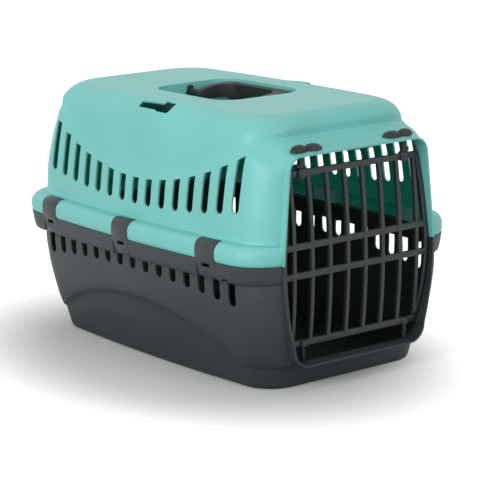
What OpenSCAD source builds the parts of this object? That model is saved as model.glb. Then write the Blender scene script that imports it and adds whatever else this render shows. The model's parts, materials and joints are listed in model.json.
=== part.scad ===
// Small two-shell pet carrier: dark base tray, coloured top shell, grille door
// held by two lift pins, six rim clips and a folding handle in a roof recess.
// Units are millimetres. Z is up, the door faces -Y, the ground is z = 0.
// The origin is on the ground under the middle of the rim.

/* [Overall] */
// Half of the width over the rim
rim_half = 142.5; // [120:1:170]
// Foremost plane of the rim
front_y = -215; // [-240:1:-190]
// Rearmost plane of the rim
rear_y = 209; // [180:1:240]
// Height of the joint between base and top shell
parting_z = 132; // [110:1:150]
// Height of the roof plane
roof_z = 272; // [240:1:300]
// Height of the rounded shoulder under the roof plane
shoulder_h = 32; // [20:1:40]
// How far the doorway's upper edge lies under the roof plane
lip_drop = 35.5; // [30:0.5:50]
// Height of the doorway's lower edge
sill_z = 27.5; // [20:0.5:40]
// Wall thickness of both shells
wall = 2; // [1.5:0.5:4]
// How much the long sides bow outwards per squared millimetre
barrel = 0.00024; // [0:0.00001:0.0005]
// Air gap between pieces that do not fit together
gap = 0.3; // [0.2:0.05:0.5]

/* [Rim] */
// Height of the rolled rim of the top shell
rim_h = 20; // [14:1:26]
// Height of the band under the joint on the base
band_h = 19; // [12:1:26]
// How far the rolled rim stands out from the wall
rim_out = 15; // [8:1:20]

/* [Vents] */
// Number of slots along each side
vent_n = 15; // [8:1:20]
// Distance between slots
vent_pitch = 22.85; // [16:0.1:30]
// Rearmost slot position
vent_y0 = 155.5; // [120:0.5:170]
// Width of one slot
vent_w = 10.6; // [5:0.2:12]
// Where the upper ends of the slots are lowest
zone_y = -4; // [-30:1:30]
// How far the raised zone dips there under the door shelf
zone_dip = 46.3; // [30:0.1:60]
// How far it rises again, 160 mm away
zone_rise = 39.2; // [20:0.1:50]

/* [Door] */
// Distance between the upright bars
bar_pitch = 22.9; // [16:0.1:30]
// Width and depth of an upright bar
bar_w = 4; // [3:0.5:6]
// Width of the door's edge bars
edge_w = 4.4; // [3:0.2:6]
// Height of a crosswise bar
rail_h = 6; // [4:0.5:9]
// Half of the distance between the two pin lines
pin_x = 67; // [50:1:80]
// Depth position of the pin lines
pin_y = -203; // [-215:1:-190]
// Diameter of the lift pins
pin_d = 6; // [4:0.5:8]
// Diameter of the lower door pins
toe_d = 5; // [4:0.5:8]
// Air gap between the door's edge and the doorway
door_gap = 2; // [1.5:0.5:4]
// Running clearance of a pin in its hole, on the radius
fit = 0.06; // [0.02:0.01:0.1]

/* [Clips] */
// Width of a clip
clip_w = 29; // [20:1:36]
// Thickness of a clip
clip_t = 4; // [3:0.5:6]
// Distance between neighbouring clips
clip_pitch = 140; // [100:1:160]
// Position of the middle clip
clip_y0 = 1; // [-20:1:20]
// Diameter of the clip hinge stubs
stub_d = 4; // [3:0.5:5]

/* [Handle] */
// Half width of the roof recess
tub_hx = 54; // [40:1:70]
// Half length of the roof recess
tub_hy = 67; // [50:1:90]
// Corner radius of the roof recess
tub_r = 26; // [15:1:40]
// Depth of the recess below the roof
tub_d = 26; // [15:1:30]
// Depth of the handle hinge line below the roof
hinge_drop = 10.5; // [8:0.5:16]
// Reach of the handle from its hinge line
reach = 51.5; // [40:0.5:52]
// Half of the outside width of the handle over its arms
grip_hy = 53; // [40:1:60]
// Diameter of the handle hinge stubs
axle_d = 5; // [4:0.5:8]
// Width of the handle's arms
arm_w = 8; // [5:0.5:12]
// Outer corner radius of the handle
grip_r = 11; // [6:0.5:20]

/* [Strap hooks] */
// Half width of the roof at a strap hook
hook_x = 94.6; // [88:0.1:98]
// Length of the slot beside the hook
hook_l = 34; // [20:1:50]
// Width of that slot
hook_gap = 6; // [4.5:0.5:10]

/* [Hidden] */

dark = [0.20, 0.22, 0.23];
green = [0.36, 0.79, 0.73];
crease_z = parting_z + rim_h;
wall_half = rim_half - rim_out;
shoulder_z = roof_z - shoulder_h;
roof_half = wall_half - 43.5;
proud = 2;
floor_z = 0.5;
arch_top = parting_z - 64;
lip_z = roof_z - lip_drop;
ledge_z = lip_z + 6;
hinge_z = roof_z - hinge_drop;
door_top = lip_z - 18;
door_low = sill_z + 20.5;

// ---- plan outline -------------------------------------------------------
// Points of one closed ring: half width, front, rear, front and rear radius.
function bow(y) = barrel * y * y;
function half_ring(hx, yf, yr, rf, rr) = concat(
    [for (i = [0:2]) [i / 3 * (hx - bow(yf + rf) - rf), yf]],
    [for (i = [0:7]) let (a = i * 90 / 7, xc = hx - bow(yf + rf) - rf)
        [xc + rf * sin(a), yf + rf - rf * cos(a)]],
    [for (i = [1:8]) let (y = yf + rf + (yr - rr - yf - rf) * i / 9)
        [hx - bow(y), y]],
    [for (i = [0:6]) let (a = i * 90 / 6, xc = hx - bow(yr - rr) - rr)
        [xc + rr * cos(a), yr - rr + rr * sin(a)]],
    [for (i = [1:3]) [(1 - i / 3) * (hx - bow(yr - rr) - rr), yr]]);
function mirrored(h) = concat(h, [for (i = [len(h) - 2:-1:1]) [-h[i][0], h[i][1]]]);
function ring(hx, yf, yr, rf, rr) = mirrored(half_ring(hx, yf, yr, rf, rr));
// How much a ring point belongs to the front, 0 to 1.
function front_share(p) = let (t = (front_y + 50 - p[1]) / 42) t < 0 ? 0 : t > 1 ? 1 : t * t * (3 - 2 * t);
// How much it belongs to the rounded front corner, 0 to 1.
function corner_share(p) = let (u = max(0, min(1, (front_y + 46 - p[1]) / 46)), v = sqrt(1 - u * u))
    2 * u * v * min(1, 2 * v * v);

function middle(r) = [0, (r[0][1] + r[floor(len(r) / 2)][1]) / 2, r[0][2]];
module skin(rings) {
    n = len(rings[0]);
    m = len(rings);
    pts = concat([for (r = rings) for (p = r) p], [middle(rings[0]), middle(rings[m - 1])]);
    sides = [for (j = [0:m - 2]) for (i = [0:n - 1]) let (k = (i + 1) % n)
        each [[j * n + i, (j + 1) * n + k, j * n + k],
              [j * n + i, (j + 1) * n + i, (j + 1) * n + k]]];
    bottom = [for (i = [0:n - 1]) [m * n, i, (i + 1) % n]];
    top = [for (i = [0:n - 1]) [m * n + 1, (m - 1) * n + (i + 1) % n, (m - 1) * n + i]];
    polyhedron(points = pts, faces = concat(sides, bottom, top), convexity = 8);
}
function lift(r, z) = [for (p = r) [p[0], p[1], z]];
// Puts the middle of the rim over the origin.
module place() {
    translate([0, -(front_y + rear_y) / 2, 0])
        children();
}

// ---- top shell ----------------------------------------------------------
function lean(z) = let (t = (z - crease_z) / (shoulder_z - crease_z)) t < 0 ? 0 : 4.7 * t + 9.1 * t * t;
function round_in(z, z1, d) = z <= z1 ? 0 :
    d * (1 - sqrt(max(0, 1 - pow((z - z1) / (roof_z - z1), 2))));
function side_x(z) = z <= shoulder_z ? wall_half - lean(z) :
    roof_half + (wall_half - lean(shoulder_z) - roof_half)
    * sqrt(max(0, 1 - pow((z - shoulder_z) / (roof_z - shoulder_z), 2)));
function rear_top(z) = rear_y - 9 - lean(min(z, shoulder_z)) * 0.9 - round_in(z, shoulder_z, 18);
function front_low(z) = front_y + 1.5 + max(0, z - crease_z) * 0.02;
function front_high(z) = front_y + 31 + max(0, z - roof_z + 20) * 0.1 + round_in(z, roof_z - 15, 20);
// Height of the shoulder's skin at a half width, and its slope there.
function skin_z(x) = shoulder_z + shoulder_h
    * sqrt(1 - pow((x + proud - roof_half) / (wall_half - lean(shoulder_z) - roof_half), 2));
function skin_slope(x) = atan(skin_z(x - 0.5) - skin_z(x + 0.5));
// Upper edge of the proud side zone, lowest near the middle.
function zone_z(y) = min(ledge_z, ledge_z - zone_dip + zone_rise * pow((y - zone_y) / 160, 2));

function low_ring(z, o) = ring(side_x(min(z, shoulder_z)) - o, front_low(z) + o,
    rear_top(min(z, shoulder_z)) - o, 45 - o, 40 - o);
// Draws the front of a ring back from one depth to another, easing out over the foremost part.
function drawn(y, y1, y2) = let (y0 = front_y + 85) y > y0 ? y : y0 + (y - y0) * (y2 - y0) / (y1 - y0);
// A point of the lower or upper zone at its own height, found from flat rings.
function low_pt(i, z, o) = let (p = low_ring(z, o)[i]) [p[0], p[1], z];
function high_pt(i, z, o, t) = let (
    p = ring(side_x(z) - mix(proud, shelf_in[5], t) - o, front_low(z) + o,
        rear_top(z) - proud - o, 43 - o, 34 - o)[i])
    [p[0], drawn(p[1], front_low(z) + o, front_high(z) + o), z];

// Between the zones: a soft step along the sides, a shelf over the door.
step_z = [-3, -1.2, 0.6, 2.2, 3.6, 5];
step_in = [0, 0.3, 0.8, 1.4, 1.8, proud];
shelf_up = [-8, -3.9, -0.6, 0.4, 3.1, 7.5];
shelf_back = [2, 3.4, 7.5, 19, 26.5, 31];
shelf_in = [0.6, 1.5, 2.6, 3.8, 4.6, 5];
corner_drop = [6, 6, 4.5, 3, 1, 0];
corner_in = [3, 4.5, 4, 0, -1.5, -2];
function mix(a, b, t) = a + (b - a) * t;
function step_height(k, p) = mix(zone_z(p[1]) + step_z[k], ledge_z + shelf_up[k], front_share(p))
    - corner_drop[k] * corner_share(p);
function step_pt(k, i, p, o) = let (
    t = front_share(p),
    z = step_height(k, p),
    e = o + corner_in[k] * corner_share(p),
    q = ring(side_x(z) - mix(step_in[k], shelf_in[k], t) - e, front_low(z) + e,
        rear_top(z) - step_in[k] - e, 45 - e, 40 - e)[i])
    [q[0], drawn(q[1], front_low(z) + e, front_y + shelf_back[k] + e), z];

function top_rings(o) = let (
    base = ring(rim_half - o, front_y + o, rear_y - o, 46 - o, 42 - o),
    n = len(base),
    zc = o > 0 ? -o : 0)
    concat(
    [lift(ring(rim_half - 1.5 - o, front_y + 1.5 + o, rear_y - 1.5 - o, 45, 41),
          parting_z + gap - (o > 0 ? 1 : 0))],
    [lift(base, parting_z + 4)],
    [lift(base, parting_z + 11 + zc)],
    [lift(ring(rim_half - 2.5 - o, front_y + 0.6 + o, rear_y - 2 - o, 45, 41),
          parting_z + 16 + zc)],
    [lift(ring(rim_half - 7 - o, front_y + 1.1 + o, rear_y - 5 - o, 43, 40),
          parting_z + 19.3 + zc)],
    [lift(low_ring(crease_z, o + 0.4), crease_z + 0.2 + zc)],
    [for (t = [0.34, 0.67]) [for (i = [0:n - 1])
        low_pt(i, mix(crease_z, step_height(0, base[i]), t) + zc, o)]],
    [for (k = [0:5]) [for (i = [0:n - 1])
        let (p = step_pt(k, i, base[i], o)) [p[0], p[1], p[2] + zc]]],
    [for (t = [0.2, 0.4, 0.6, 0.8, 0.91, 1]) [for (i = [0:n - 1])
        let (zb = step_height(5, base[i]))
        high_pt(i, zb + (roof_z - zb) * sin(t * 90) + zc, o, front_share(base[i]))]]);

// Half width of the doorway at a height, widest at the joint of the shells.
function open_x(z) = z > parting_z ? 97 - 8.5 * (z - parting_z) / (lip_z - 15 - parting_z) :
    97 - 13 * pow((parting_z - z) / (parting_z - sill_z - 17), 2);
module opening(o, z0, z1) {
    rt = 15;
    rb = 17;
    xt = open_x(lip_z - rt) - rt;
    xb = open_x(sill_z + rb) - rb;
    right = concat(
        [for (a = [270:15:360]) [xb + (rb + o) * cos(a), sill_z + rb + (rb + o) * sin(a)]],
        [for (t = [0.15:0.17:1]) let (z = mix(sill_z + rb, parting_z, t)) [open_x(z) + o, z]],
        [for (t = [0, 0.33, 0.67]) let (z = mix(parting_z, lip_z - rt, t)) [open_x(z) + o, z]],
        [for (a = [0:15:90]) [xt + (rt + o) * cos(a), lip_z - rt + (rt + o) * sin(a)]]);
    rotate([90, 0, 0])
        linear_extrude(height = 60, center = true)
            intersection() {
                polygon(concat(right, [for (i = [len(right) - 1:-1:0]) [-right[i][0], right[i][1]]]));
                translate([-rim_half, z0])
                    square([2 * rim_half, z1 - z0]);
            }
}

// Doorway lining, left standing when the inside is hollowed out.
module lining(z0, z1) {
    translate([0, front_y - 13, 0])
        opening(wall, z0, z1);
}

module slot(y, z0) {
    w = vent_w / 2;
    rotate([90, 0, 90])
        linear_extrude(height = 2 * rim_half, center = true)
            polygon(concat(
                [for (a = [180:22.5:360]) [y + w * cos(a), z0 + w + w * sin(a)]],
                [[y + w, min(zone_z(y + w), zone_z(y - w) + 2) - 2], [y - w, zone_z(y - w) - 2]]));
}

module rounded_plate(hx, hy, r, h) {
    linear_extrude(height = h)
        polygon([for (q = [[1, 1, 0], [-1, 1, 90], [-1, -1, 180], [1, -1, 270]])
            for (a = [0:15:90]) [q[0] * (hx - r) + r * cos(a + q[2]),
                                 q[1] * (hy - r) + r * sin(a + q[2])]]);
}

// Places its children at each clip, x = 0 on the outer face of the rim.
module at_clip(side, row) {
    y = clip_y0 + row * clip_pitch;
    x = rim_half - bow(y);
    scale_x = side;
    translate([scale_x * x, y, 0])
        rotate([0, 0, (side < 0 ? 180 : 0) + side * 2 * barrel * y * 57.3])
            children();
}
module each_clip() {
    for (side = [-1, 1])
        for (row = [-1:1])
            at_clip(side, row)
                children();
}

// Slot beside a strap hook, wide at the hook's free end.
module strap_slot(side) {
    x0 = hook_x - 3;
    translate([side * (x0 + hook_x + 2 + hook_gap) / 2, 0, roof_z - 30])
        rounded_plate((hook_x + 2 + hook_gap - x0) / 2, hook_l / 2, 2.5, 40);
    translate([side * (x0 + hook_x + 2 + hook_gap) / 2, -hook_l / 2 - 7, roof_z - 30])
        rounded_plate((hook_x + 3 + hook_gap - x0) / 2 + 0.5, 12, 4, 40);
}
// Hook over the slot, rooted in the skin at its rear end and free at the front.
module strap_hook(side) {
    translate([side * hook_x, 0, skin_z(hook_x)])
        rotate([0, side * skin_slope(hook_x), 0])
            rotate([90, 0, 90])
                linear_extrude(height = 4, center = true)
                    polygon([[hook_l / 2 + 6, -1.9], [hook_l / 2 + 6, -0.8], [hook_l / 2 - 1, -0.7],
                             [hook_l / 2 - 6, 0.5], [0, 1.3], [-hook_l / 2, 2.1],
                             [-hook_l / 2 - 4, 2], [-hook_l / 2 - 5, 1.2], [-hook_l / 2 - 4, 0.2],
                             [0, -0.7], [hook_l / 2 - 4, -1.7]]);
}

module top_shell() {
    color(green)
        place() {
        for (side = [-1, 1])
            strap_hook(side);
        difference() {
            skin(top_rings(0));
            difference() {
                skin(top_rings(wall));
                lining(parting_z, lip_z + 10);
                translate([0, 0, roof_z - tub_d - wall])
                    rounded_plate(tub_hx + wall, tub_hy + wall, tub_r + wall, 60);
                for (side = [-1, 1])
                    translate([side * pin_x, pin_y, lip_z])
                        cylinder(d = pin_d + 8, h = 20, $fn = 32);
                each_clip()
                    translate([-clip_t - gap - 4, -clip_w / 2 - 4, parting_z])
                        cube([20, clip_w + 8, rim_h - clip_t + 1]);
            }
            translate([0, front_y - 3, 0])
                opening(0, parting_z - 10, lip_z + 20);
            for (i = [0:vent_n - 1])
                let (y = vent_y0 - i * vent_pitch)
                    slot(y, crease_z + 15 + 12.8 * pow((y - zone_y) / 160, 2));
            translate([0, 0, roof_z - tub_d])
                rounded_plate(tub_hx, tub_hy, tub_r, 60);
            translate([0, 0, hinge_z])
                rotate([90, 0, 0])
                    cylinder(d = axle_d + 2 * fit, h = 2 * tub_hy + 20, center = true, $fn = 48);
            for (side = [-1, 1]) {
                translate([side * pin_x, pin_y, lip_z - 20])
                    cylinder(d = pin_d + 2 * fit, h = 60, $fn = 48);
                strap_slot(side);
            }
            each_clip()
                union() {
                    translate([-clip_t - gap, -clip_w / 2 - gap, parting_z - 2])
                        cube([20, clip_w + 2 * gap, rim_h + 10]);
                    translate([-12, -clip_w / 2 - gap, crease_z - clip_t - gap])
                        cube([30, clip_w + 2 * gap, clip_t + 10]);
                }
        }
    }
}

// ---- base shell ---------------------------------------------------------
function base_drop(z) = let (d = parting_z - 20 - z) 0.02 * d + 0.00145 * d * d;
function base_x(z) = rim_half - 11.5 - base_drop(z);
function plinth_x(z) = rim_half - 34 + 15.5 * pow(max(z, 0) / 62, 0.85);
function arch_z(y) = max(sill_z - 3, arch_top - 40 * pow((y - 5) / 172, 2));
function wall_ring(z, o) = ring(base_x(z) - o, front_y + 2.5 + base_drop(z) * 0.85 + o,
    rear_y - 13 - base_drop(z) - o, 40 - o, 38 - o);
function plinth_ring(z, o) = ring(min(plinth_x(z), base_x(z) - proud) - o,
    front_y + 25.5 - z * 0.12 + o, rear_y - 31 + z * 0.12 - o, 34 - o, 34 - o);
function wall_pt(i, z, o) = let (p = wall_ring(z, o)[i]) [p[0], p[1], z];
function plinth_pt(i, z, o) = let (p = plinth_ring(z, o)[i]) [p[0], p[1], z];
function base_rings(o) = let (
    r0 = ring(rim_half, front_y, rear_y, 42, 42),
    n = len(r0),
    z0 = floor_z + o)
    concat(
    [[for (i = [0:n - 1]) plinth_pt(i, z0, o + 1.6)]],
    [[for (i = [0:n - 1]) plinth_pt(i, z0 + 2, o)]],
    [for (t = [0.5, 0.97]) [for (i = [0:n - 1])
        plinth_pt(i, z0 + 2 + t * (arch_z(r0[i][1]) - z0 - 2), o)]],
    [for (t = [0:0.25:1]) [for (i = [0:n - 1])
        let (za = arch_z(r0[i][1]) + 2)
        wall_pt(i, za + t * (parting_z - za + (o > 0 ? 1 : 0)), o + (o > 0 && t < 0.1 ? 2 : 0))]]);
function band_ring(z, o) = let (d = (parting_z - z) * 0.14)
    ring(rim_half - 0.6 - d - o, front_y + 0.6 + d + o, rear_y - 0.6 - d - o, 45 - o, 41 - o);

module band() {
    difference() {
        skin([lift(band_ring(parting_z - band_h, 1.5), parting_z - band_h),
              lift(band_ring(parting_z - band_h + 2, 0), parting_z - band_h + 2),
              lift(band_ring(parting_z, 0), parting_z)]);
        difference() {
            skin([lift(band_ring(parting_z - band_h - 2, wall), parting_z - band_h - 2),
                  lift(band_ring(parting_z - wall, wall), parting_z - wall)]);
            each_clip()
                translate([-16, -clip_w / 2 - 6, parting_z - band_h - 5])
                    cube([30, clip_w + 12, band_h + 5]);
        }
    }
}

module toe_socket(side) {
    translate([side * pin_x, pin_y, sill_z - 1.5])
        difference() {
            union() {
                cylinder(d = toe_d + 5, h = 18.5, $fn = 40);
                translate([-(toe_d + 5) / 2, 0, 0])
                    cube([toe_d + 5, 5.2, 18.5]);
            }
            translate([0, 0, 2.5])
                cylinder(d = toe_d + 2 * fit, h = 20, $fn = 48);
            translate([-(toe_d / 2 + 0.6), -10, 2.5])
                cube([toe_d + 1.2, 10, 20]);
        }
}

module base_shell() {
    color(dark)
        place()
            difference() {
            union() {
                skin(base_rings(0));
                band();
                for (sx = [-1, 1])
                    for (y = [front_y + 43, rear_y - 49])
                        translate([sx * (plinth_x(0) - 20.5), y, 0])
                            cylinder(d = 11, h = 4, $fn = 24);
            }
            difference() {
                skin(base_rings(wall));
                lining(sill_z - 8, parting_z);
            }
            translate([0, front_y - 3, 0])
                opening(0, 0, parting_z + 1);
            for (i = [0:vent_n - 1])
                let (y = vent_y0 - i * vent_pitch, zb = parting_z - 33 - 11 * pow(y / 160, 2))
                    rotate([90, 0, 90])
                        linear_extrude(height = 2 * rim_half - 18, center = true)
                            polygon(concat(
                                [for (a = [180:22.5:360])
                                    [y + vent_w / 2 * cos(a), zb + vent_w / 2 * (1 + sin(a))]],
                                [[y + vent_w / 2, parting_z - 15], [y - vent_w / 2, parting_z - 15]]));
            each_clip()
                union() {
                    translate([-12, -clip_w / 2 - gap, parting_z - band_h - 5])
                        cube([30, clip_w + 2 * gap, band_h + 10]);
                    translate([-7, 0, parting_z - 14.5])
                        rotate([90, 0, 0])
                            cylinder(d = stub_d + 2 * fit, h = clip_w + 5, center = true, $fn = 32);
                }
        }
    color(dark)
        place()
            for (side = [-1, 1])
                toe_socket(side);
}

// ---- door ---------------------------------------------------------------
function door_y(z) = front_y + 5.5 + 6 * pow((z - parting_z) / (door_top - parting_z), 2);
function edge_x(z) = open_x(z) - door_gap - edge_w / 2;
module upright(x, z0, z1, w) {
    translate([x, 0, 0])
        rotate([90, 0, 90])
            linear_extrude(height = w, center = true)
                polygon(concat(
                    [for (i = [0:10]) let (z = z0 + (z1 - z0) * i / 10) [door_y(z), z]],
                    [for (i = [10:-1:0]) let (z = z0 + (z1 - z0) * i / 10) [door_y(z) + bar_w, z]]));
}
module rail(z, hx) {
    translate([-hx, door_y(z), z - rail_h / 2])
        cube([2 * hx, bar_w, rail_h]);
}
module edge_bar(side) {
    z0 = door_low - rail_h / 2;
    z1 = door_top + rail_h / 2;
    intersection() {
        rotate([90, 0, 0])
            linear_extrude(height = -front_y + 25)
                polygon(concat(
                    [for (i = [0:12]) let (z = mix(z0, z1, i / 12))
                        [side * (edge_x(z) - edge_w / 2), z]],
                    [for (i = [12:-1:0]) let (z = mix(z0, z1, i / 12))
                        [side * (edge_x(z) + edge_w / 2), z]]));
        upright(0, z0, z1, 2 * rim_half);
    }
}
module door() {
    color(dark)
        place()
            difference() {
            union() {
                for (i = [-3.5:1:3.5])
                    upright(i * bar_pitch, door_low, door_top, bar_w);
                rail(door_top, edge_x(door_top) - 1);
                rail(parting_z + 15, edge_x(parting_z + 15));
                rail(parting_z - 14, edge_x(parting_z - 14));
                rail(door_low, edge_x(door_low) - 1);
                for (side = [-1, 1]) {
                    edge_bar(side);
                    translate([side * pin_x, pin_y, door_top - 4])
                        cylinder(d = pin_d + 4, h = 8.5, $fn = 40);
                    translate([side * pin_x, pin_y, door_low - 3])
                        cylinder(d = toe_d + 4, h = 6, $fn = 40);
                    translate([side * pin_x, pin_y, sill_z + 3.5])
                        cylinder(d = toe_d, h = door_low - sill_z - 4, $fn = 48);
                }
            }
            for (side = [-1, 1])
                translate([side * pin_x, pin_y, door_top - 2])
                    cylinder(d = pin_d + 2 * fit, h = 20, $fn = 48);
        }
}

// ---- lift pins ----------------------------------------------------------
// Plan of a two-lobed grip, the long lobe towards the middle of the door.
module grip_plan(o) {
    polygon([for (a = [0:12:348]) [10.5 + (10 - o) * cos(a), (7 - o) * sin(a)]]);
    polygon([for (a = [0:12:348]) [-7.5 + (8 - o) * cos(a), (6 - o) * sin(a)]]);
    translate([-5, -(4.5 - o)])
        square([10, 2 * (4.5 - o)]);
}
module latch(side) {
    foot_z = door_top - 1.5;
    seat_z = ledge_z + 1;
    color(dark)
        place()
            translate([side * pin_x, pin_y, 0])
                rotate([0, 0, side < 0 ? 0 : 180])
                union() {
                    translate([0, 0, foot_z])
                        cylinder(d = pin_d, h = seat_z + 2 - foot_z, $fn = 48);
                    translate([0, 0, seat_z])
                        linear_extrude(height = 3.4)
                            grip_plan(0);
                    translate([0, 0, seat_z + 3.3])
                        linear_extrude(height = 1.5)
                            grip_plan(1.3);
                    translate([0, 0, seat_z + 4.7])
                        linear_extrude(height = 0.9)
                            grip_plan(3);
                    translate([-6, -2, lip_z - 12.3])
                        cube([6, 4, 3.6]);
                }
}

// ---- rim clips ----------------------------------------------------------
// Drawn at x = 0 on the outer face of the rim, hook pointing to -x.
module clip() {
    z0 = parting_z - band_h;
    color(dark)
        difference() {
            union() {
                rotate([90, 0, 0])
                    linear_extrude(height = clip_w, center = true)
                        polygon([
                            [-7, z0 + 0.8], [-4.6, z0 + 1.2], [-3.4, z0 + 4],
                            [-0.4, parting_z], [0, parting_z + 4], [0, parting_z + 11],
                            [-0.9, parting_z + 15], [-3, parting_z + 18.2],
                            [-7, parting_z + 19.9], [-11.4, parting_z + 20.2],
                            [-11.4, crease_z - clip_t], [-clip_t, crease_z - clip_t],
                            [-clip_t, parting_z - 9], [-7, parting_z - 10.6]]);
                translate([-7, 0, parting_z - 14.5])
                    rotate([90, 0, 0])
                        cylinder(d = 7.2, h = clip_w, center = true, $fn = 40);
                translate([-7, 0, parting_z - 14.5])
                    rotate([90, 0, 0])
                        cylinder(d = stub_d, h = clip_w + 4, center = true, $fn = 32);
            }
            translate([-10, -6, parting_z - 7])
                cube([20, 12, 3.4]);
        }
}
module clip_near_rear() {
    place()
        at_clip(-1, 1)
            clip();
}
module clip_near_mid() {
    place()
        at_clip(-1, 0)
            clip();
}
module clip_near_front() {
    place()
        at_clip(-1, -1)
            clip();
}
module clip_far_rear() {
    place()
        at_clip(1, 1)
            clip();
}
module clip_far_mid() {
    place()
        at_clip(1, 0)
            clip();
}
module clip_far_front() {
    place()
        at_clip(1, -1)
            clip();
}

// ---- handle -------------------------------------------------------------
// Side view of arm and grip, x from the hinge line.
module arm_side() {
    polygon([[-4.2, hinge_z - 1.5], [-2.6, hinge_z - 4], [0, hinge_z - 5.2], [8, hinge_z - 6],
             [24, hinge_z - 5.8], [32, hinge_z - 6.2], [38, hinge_z - 7.6], [43, hinge_z - 10.6],
             [47, hinge_z - 12.3], [50, hinge_z - 11.6], [reach, hinge_z - 9],
             [reach, hinge_z + 5], [reach - 1.2, hinge_z + 7], [reach - 3.5, hinge_z + 8],
             [44, hinge_z + 8], [36, hinge_z + 7.4], [26, hinge_z + 6.6], [15, hinge_z + 5.5],
             [6, hinge_z + 4.3], [0, hinge_z + 3.6], [-3, hinge_z + 2.6]]);
}
// Plan of the bail: two arms joined by the grip, open at the hinge line.
module bail_plan() {
    difference() {
        polygon(concat(
            [[-10, -grip_hy]],
            [for (a = [-90:15:0]) [reach - grip_r + grip_r * cos(a), -grip_hy + grip_r + grip_r * sin(a)]],
            [for (a = [0:15:90]) [reach - grip_r + grip_r * cos(a), grip_hy - grip_r + grip_r * sin(a)]],
            [[-10, grip_hy]]));
        polygon(concat(
            [[-11, -grip_hy + arm_w]],
            [for (a = [-90:15:0]) [reach - 21.5 + 6 * cos(a), -grip_hy + arm_w + 6 + 6 * sin(a)]],
            [for (a = [0:15:90]) [reach - 21.5 + 6 * cos(a), grip_hy - arm_w - 6 + 6 * sin(a)]],
            [[-11, grip_hy - arm_w]]));
    }
}
module handle() {
    color(dark)
        place()
            difference() {
                union() {
                    intersection() {
                        rotate([90, 0, 0])
                            linear_extrude(height = 2 * grip_hy + 10, center = true)
                                arm_side();
                        translate([0, 0, hinge_z - 20])
                            linear_extrude(height = 40)
                                bail_plan();
                    }
                    for (side = [-1, 1]) {
                        translate([0, side * ((grip_hy + tub_hy - gap) / 2 - 1), hinge_z])
                            rotate([90, 0, 0])
                                cylinder(d = 8.2, h = tub_hy - gap - grip_hy + 2, center = true, $fn = 40);
                        translate([0, side * (tub_hy - 1), hinge_z])
                            rotate([90, 0, 0])
                                cylinder(d = axle_d, h = 7, center = true, $fn = 48);
                        translate([-2.4, side * (tub_hy - gap - 2.2) - 2.2, hinge_z])
                            cube([4.8, 4.4, 6]);
                    }
                }
                for (i = [-4:4])
                    translate([38.5, i * 8.6 - 1.2, hinge_z + 7])
                        cube([20, 2.4, 5]);
            }
}

base_shell();
top_shell();
door();
latch(-1);  // latch_left
latch(1);  // latch_right
clip_near_rear();
clip_near_mid();
clip_near_front();
clip_far_rear();
clip_far_mid();
clip_far_front();
handle();
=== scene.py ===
"""Looks for a small two-shell pet carrier.

Green top shell, charcoal base, grille door, lift pins, rim clips and a folding handle.
"""

import json
import math

import bpy
from mathutils import Matrix, Vector

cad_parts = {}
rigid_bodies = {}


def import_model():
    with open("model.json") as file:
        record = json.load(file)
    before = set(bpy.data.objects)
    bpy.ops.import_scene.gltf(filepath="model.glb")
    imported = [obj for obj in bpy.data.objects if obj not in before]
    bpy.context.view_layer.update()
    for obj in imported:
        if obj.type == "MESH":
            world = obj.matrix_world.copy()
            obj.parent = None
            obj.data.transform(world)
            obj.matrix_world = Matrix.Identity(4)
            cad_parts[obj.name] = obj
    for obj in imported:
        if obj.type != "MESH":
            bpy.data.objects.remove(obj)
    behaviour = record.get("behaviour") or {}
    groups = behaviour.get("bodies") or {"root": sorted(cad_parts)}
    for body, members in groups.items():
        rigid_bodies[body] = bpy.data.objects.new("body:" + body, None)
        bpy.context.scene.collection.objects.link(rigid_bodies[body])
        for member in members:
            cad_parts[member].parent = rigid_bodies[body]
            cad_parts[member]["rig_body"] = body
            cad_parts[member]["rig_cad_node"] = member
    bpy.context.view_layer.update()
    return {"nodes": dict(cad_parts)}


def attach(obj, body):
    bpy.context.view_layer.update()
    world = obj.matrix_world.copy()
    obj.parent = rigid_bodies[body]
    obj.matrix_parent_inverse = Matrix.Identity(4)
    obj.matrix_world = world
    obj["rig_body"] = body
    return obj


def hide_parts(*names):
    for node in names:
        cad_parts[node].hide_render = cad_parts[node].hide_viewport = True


bl_info = {
    "name": "Pet Carrier",
    "version": (1, 0, 0),
    "blender": (4, 5, 0),
    "location": "3D View > Sidebar > Carrier",
    "description": "Dresses a packed two-shell pet carrier and sets its studio",
    "category": "Object",
}

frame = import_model()


def linear(hex_colour):
    """sRGB hex to a linear colour with alpha."""
    parts = [int(hex_colour[i:i + 2], 16) / 255 for i in (1, 3, 5)]
    return tuple(c / 12.92 if c <= 0.04045 else ((c + 0.055) / 1.055) ** 2.4 for c in parts) + (1.0,)


# ---- helpers ------------------------------------------------------------
def only(*objects):
    """Leaves object mode with just these objects selected, the first one active."""
    if bpy.context.object and bpy.context.object.mode != "OBJECT":
        bpy.ops.object.mode_set(mode="OBJECT")
    bpy.ops.object.select_all(action="DESELECT")
    for piece in objects:
        piece.select_set(True)
    bpy.context.view_layer.objects.active = objects[0]


def merged_copy(node, name):
    """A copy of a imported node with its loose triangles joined, ready for edit mode."""
    source = frame["nodes"][node]
    only(source)
    bpy.ops.object.duplicate()
    piece = bpy.context.object
    piece.parent = None
    piece.name = name
    piece.data.name = name
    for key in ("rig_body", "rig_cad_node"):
        del piece[key]
    bpy.ops.object.mode_set(mode="EDIT")
    bpy.ops.mesh.select_all(action="SELECT")
    bpy.ops.mesh.customdata_custom_splitnormals_clear()
    bpy.ops.mesh.remove_doubles(threshold=0.00001)
    bpy.ops.mesh.dissolve_limited(angle_limit=math.radians(0.4))
    bpy.ops.object.mode_set(mode="OBJECT")
    return piece


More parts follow.
